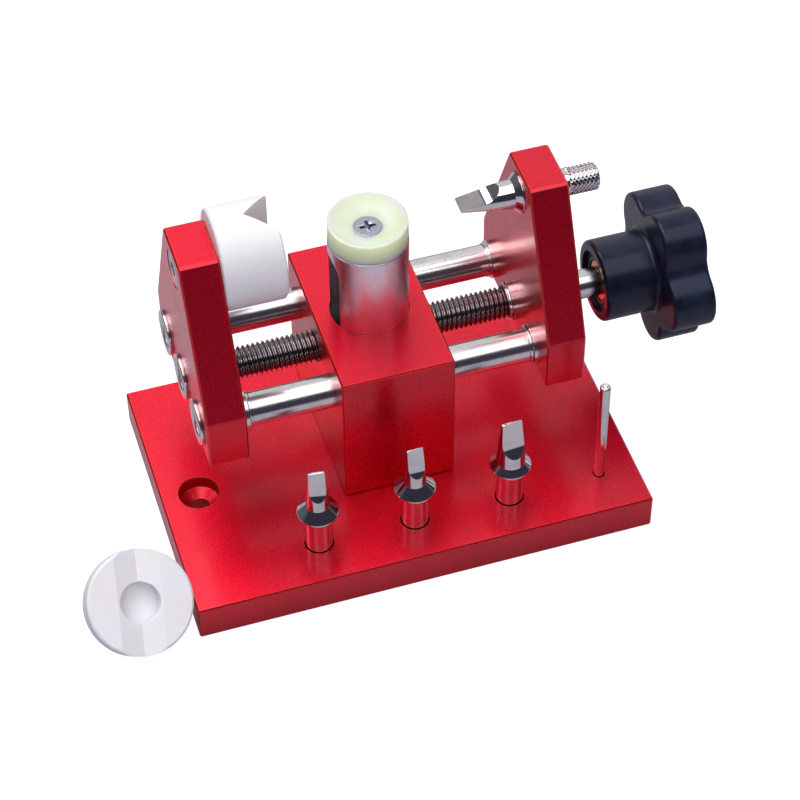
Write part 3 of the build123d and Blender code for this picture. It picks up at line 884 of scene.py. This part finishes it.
def knurl_sleeve(sizes, radius, low, high):
    """Diamonds standing on a closed sleeve along Z, between two heights in millimetres."""
    around = sizes.knurl_diamonds
    groove = radius - sizes.knurl_depth / MM
    rows = round((high - low) / (TURN * radius / around))
    levels = [low + (high - low) * row / rows for row in range(rows + 1)]
    outline = [(0, low)] + [(groove, level) for level in levels] + [(0, high)]
    sleeve = lathe("knurl", outline, steps=around)
    edit(sleeve)
    select_where(sleeve, "faces", lambda f: abs(f.normal.z) < 0.5)
    bpy.ops.mesh.poke()
    bpy.ops.mesh.select_mode(type="EDGE")
    inner, outer = (low + 0.01) * MM, (high - 0.01) * MM

    def square(edge):
        first, second = (v.co for v in edge.verts)
        level = abs(first.z - second.z) < WELD
        upright = math.hypot(first.x - second.x, first.y - second.y) < WELD
        inside = inner < (first.z + second.z) / 2 < outer
        on_skin = min(math.hypot(first.x, first.y), math.hypot(second.x, second.y)) > groove * MM * 0.9
        return inside and on_skin and (level or upright)
    select_where(sleeve, "edges", square)
    bpy.ops.mesh.dissolve_edges(use_verts=False)
    bpy.ops.mesh.select_mode(type="FACE")
    select_where(sleeve, "faces", lambda f: abs(f.normal.z) < 0.5 and len(f.verts) == 4)
    bpy.ops.mesh.inset(thickness=0.19 * MM, depth=sizes.knurl_depth, use_individual=True)
    leave_edit_mode()
    return sleeve


def make_bit(name, sizes, shape):
    """Blade bit standing on Z with its rim at Z 0: blade above, stem and knurled end below."""
    neck, tip, reach = shape["neck"], shape["tip"], shape["reach"]
    knurl_top = -BELOW_RIM + KNURL_LENGTH
    shoulder = 0.4 + RIM_RADIUS - 0.15 - neck
    outline = [(0, -BELOW_RIM), (KNURL_RADIUS - 1.0, -BELOW_RIM), (KNURL_RADIUS - 0.35, -BELOW_RIM + 0.6),
               (KNURL_RADIUS - 0.35, knurl_top), (STEM_RADIUS, knurl_top + 0.25), (STEM_RADIUS, -2.1),
               (RIM_RADIUS - 0.1, -0.45), (RIM_RADIUS, -0.3), (RIM_RADIUS, 0.2), (RIM_RADIUS - 0.15, 0.4),
               (neck, shoulder), (tip, reach), (0, reach)]
    bit = lathe(name, outline)
    facet_half, edge_half = 1.25, 0.3
    facet_low = reach - shape["facet"]
    scoop_low = facet_low - shape["scoop"]
    root_half = neck + (tip - neck) * (scoop_low - shoulder) / (reach - shoulder) + 0.02
    chord = Vector((facet_half - root_half, facet_low - scoop_low))
    hollow = 0.45
    bow = [Vector((root_half, scoop_low)) + chord * share
           + Vector((-chord.y, chord.x)).normalized() * 4 * hollow * share * (1 - share)
           for share in (step / 10 for step in range(11))]
    side = [(facet_half, facet_low), (edge_half, reach + 0.01), (9, reach + 0.01), (9, scoop_low)]
    cutter_length = 16
    middle_it = Matrix.Translation((-cutter_length / 2 * MM, 0, 0))
    stand = Matrix(((0, 0, 1, 0), (1, 0, 0, 0), (0, 1, 0, 0), (0, 0, 0, 1)))
    for turn in (0, TURN / 2):
        cutter = prism("cutter", side + [tuple(p) for p in bow[:-1]], cutter_length)
        place(cutter, (0, 0, 0), Matrix.Rotation(turn, 4, "Z") @ middle_it @ stand)
        combine(bit, cutter)
    soften(bit, 0.07, angle=24, flat_beyond=22)
    knurl = knurl_sleeve(sizes, KNURL_RADIUS, -BELOW_RIM + 0.5, knurl_top)
    shade(knurl, 20)
    return join(bit, knurl)


class PRESS_OT_bits(bpy.types.Operator):
    """Turn, knurl and grind the fitted bit, the three stored ones and the steel pin"""
    bl_idname = "case_press.bits"
    bl_label = "Bits and pin"

    def execute(self, context):
        sizes = context.scene.press_sizes
        rim_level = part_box("spare_bit_left")[0].z + BELOW_RIM * MM
        for where, shape, turn in (("left", NARROW, -6.5), ("middle", NARROW, 4.5), ("right", WIDE, 5.5)):
            node = "spare_bit_" + where
            bit = make_bit("stored_bit_" + where, sizes, shape)
            spot = Vector((middle(node).x, middle(node).y, rim_level))
            place(bit, spot, Matrix.Rotation(radians(turn), 4, "Z"))
            finish_piece(bit, FINISHES["chrome_steel"], where + "_spare", "chrome_steel", node)
        fitted = make_bit("fitted_bit", sizes, WIDE)
        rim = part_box("blade_bit")[1].x - BELOW_RIM * MM
        place(fitted, (rim, CENTRE_Y, TOOL_LINE), AGAINST_X @ Matrix.Rotation(TURN / 4, 4, "Z"))
        finish_piece(fitted, FINISHES["chrome_level"], "bit", "chrome_steel", "blade_bit")
        low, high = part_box("steel_pin")
        radius, height = half_size("steel_pin").x / MM, (high.z - low.z) / MM
        dimple = [(0.7, height), (0.7, height - 0.8), (0, height - 1.2)]
        pin = lathe("dimpled_pin", [(0, 0)] + bar(radius, height) + dimple, steps=48)
        soften(pin, 0.06)
        place(pin, (middle("steel_pin").x, middle("steel_pin").y, low.z))
        finish_piece(pin, FINISHES["chrome_steel"], "pin", "chrome_steel", "steel_pin")
        return operator_done(self, 5)


# ---- carried-over pieces ----------------------------------------------------------------
class PRESS_OT_finishes(bpy.types.Operator):
    """Make the finishes and give them to the pieces of the frame"""
    bl_idname = "case_press.finishes"
    bl_label = "Finishes"

    def execute(self, context):
        FINISHES.update(make_finishes(context))
        for name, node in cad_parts.items():
            used = node.data.materials[0].name.split(".")[0]
            if used not in FINISHES:
                raise ValueError(f"{name} has a slot with no finish: {used}")
            node.data.materials[0] = FINISHES[used]
        return operator_done(self, len(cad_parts))


# ---- stage ------------------------------------------------------------------------------
def make_floor():
    """Plain white sheet, brighter to the eye than to a reflection."""
    leave_edit_mode()
    bpy.ops.object.select_all(action="DESELECT")
    bpy.ops.mesh.primitive_plane_add(size=8.0, location=(0, 0, -0.05 * MM))
    floor = bpy.context.object
    floor.name = "studio_floor"
    material, tree, shader = new_material("studio_paper")
    paper = add_node(tree, "ShaderNodeTexNoise", {
        "Scale": 900.0, "Detail": 3.0, "Vector": add_node(tree, "ShaderNodeTexCoord").outputs["Object"]})
    tone = mix_colour(tree, map_range(tree, paper.outputs[0], 0.3, 0.7, 0, 1), (0.40, 0.38, 0.43, 1),
                      (0.43, 0.41, 0.46, 1))
    seen = add_node(tree, "ShaderNodeLightPath").outputs["Is Camera Ray"]
    feed(tree, shader, {
        "Base Color": tone, "Roughness": 0.8, "Specular IOR Level": 0.2, "Emission Color": (1, 1, 1, 1),
        "Emission Strength": multiply(tree, seen, 0.85)})
    floor.data.materials.append(material)


def make_world(scene):
    """Grey room: dark towards the user, lighter behind the press, and dim again high up."""
    world = bpy.data.worlds.new("studio_room")
    scene.world = world
    world.use_nodes = True
    tree = world.node_tree
    tree.nodes.clear()
    facing = add_node(tree, "ShaderNodeTexCoord").outputs["Generated"]
    way = add_node(tree, "ShaderNodeSeparateXYZ", {0: facing})
    back = map_range(tree, way.outputs["Y"], -0.10, 0.30, 0.0, 1.0)
    dim, lit, high = (0.13, 0.13, 0.15, 1), (0.80, 0.77, 0.78, 1), (0.35, 0.34, 0.36, 1)
    wall = mix_colour(tree, map_range(tree, way.outputs["Z"], 0.88, 0.95, 0.0, 1.0), lit, high)
    right = mix_colour(tree, map_range(tree, way.outputs["X"], 0.01, 0.09, 0.0, 1.0), dim, wall)
    room = add_node(tree, "ShaderNodeBackground", {
        "Color": mix_colour(tree, back, (0.040, 0.034, 0.055, 1), right)})
    add_node(tree, "ShaderNodeOutputWorld", {0: room.outputs[0]})


def soft_light(name, spot, aim, width, height, power):
    """Large rectangular light."""
    leave_edit_mode()
    bpy.ops.object.select_all(action="DESELECT")
    bpy.ops.object.light_add(type="AREA", location=spot)
    lamp = bpy.context.object
    lamp.name = name
    lamp.data.shape = "RECTANGLE"
    lamp.data.size, lamp.data.size_y, lamp.data.energy = width, height, power
    lamp.rotation_euler = (Vector(aim) - Vector(spot)).to_track_quat("-Z", "Y").to_euler()
    return lamp


def make_camera(scene, stage):
    """Camera that looks down at the press from the front left."""
    bpy.ops.object.camera_add()
    camera = bpy.context.object
    facing = (Matrix.Rotation(stage.azimuth, 4, "Z") @ Matrix.Rotation(TURN / 4 - stage.elevation, 4, "X")
              @ Matrix.Rotation(stage.roll, 4, "Z"))
    back = facing.to_3x3() @ Vector((0, 0, 1))
    camera.matrix_world = Matrix.Translation(Vector(stage.look_at) + back * stage.distance) @ facing
    camera.data.lens, camera.data.sensor_width = stage.lens, 36.0
    camera.data.clip_start, camera.data.clip_end = 0.01, 50.0
    scene.camera = camera


class PRESS_OT_stage(bpy.types.Operator):
    """Set up the floor, the soft lights and the camera"""
    bl_idname = "case_press.stage"
    bl_label = "Stage"

    def execute(self, context):
        scene, stage = context.scene, context.scene.press_stage
        make_camera(scene, stage)
        make_floor()
        make_world(scene)
        centre = (0.0, CENTRE_Y, SCREW_LINE)
        distance, tilt = 1.3, radians(15)
        above = (0.0, -distance * sin(tilt), distance * cos(tilt))
        soft_light("overhead_light", above, centre, 1.5, 1.10, stage.key_power)
        soft_light("rear_light", Vector((-0.28, 0.34, 0.90)) * distance, centre, 1.0, 1.0, stage.rear_power)
        fill = soft_light("front_fill", (-0.2, -1.2, 0.8), centre, 1.0, 0.8, stage.fill_power)
        fill.visible_glossy = False
        scene.view_settings.view_transform = "Standard"
        return operator_done(self, 3)


# ---- panel and registration -------------------------------------------------------------
class PRESS_PT_panel(bpy.types.Panel):
    """Lists the pieces of the press and their settings"""
    bl_idname = "PRESS_PT_panel"
    bl_label = "Case press"
    bl_space_type = "VIEW_3D"
    bl_region_type = "UI"
    bl_category = "Case press"

    def draw(self, context):
        for group in (context.scene.press_sizes, context.scene.press_finish, context.scene.press_stage):
            box = self.layout.box()
            for name in group.__annotations__:
                box.prop(group, name)
        for operator in OPERATORS:
            self.layout.operator(operator.bl_idname)


GROUPS = {"press_sizes": PressSizes, "press_finish": PressFinish, "press_stage": PressStage}
OPERATORS = (PRESS_OT_stage, PRESS_OT_finishes, PRESS_OT_lead_screw, PRESS_OT_rods_and_bushes,
             PRESS_OT_knob, PRESS_OT_post, PRESS_OT_nylon_jaws, PRESS_OT_bits)


def register():
    for kind in (*GROUPS.values(), *OPERATORS, PRESS_PT_panel):
        bpy.utils.register_class(kind)
    for name, kind in GROUPS.items():
        setattr(bpy.types.Scene, name, PointerProperty(type=kind))


def unregister():
    for name in GROUPS:
        delattr(bpy.types.Scene, name)
    for kind in (PRESS_PT_panel, *reversed(OPERATORS), *GROUPS.values()):
        bpy.utils.unregister_class(kind)


def main():
    register()
    for operator in OPERATORS:
        getattr(bpy.ops.case_press, operator.bl_idname.split(".")[1])()


if __name__ == "__main__":
    main()
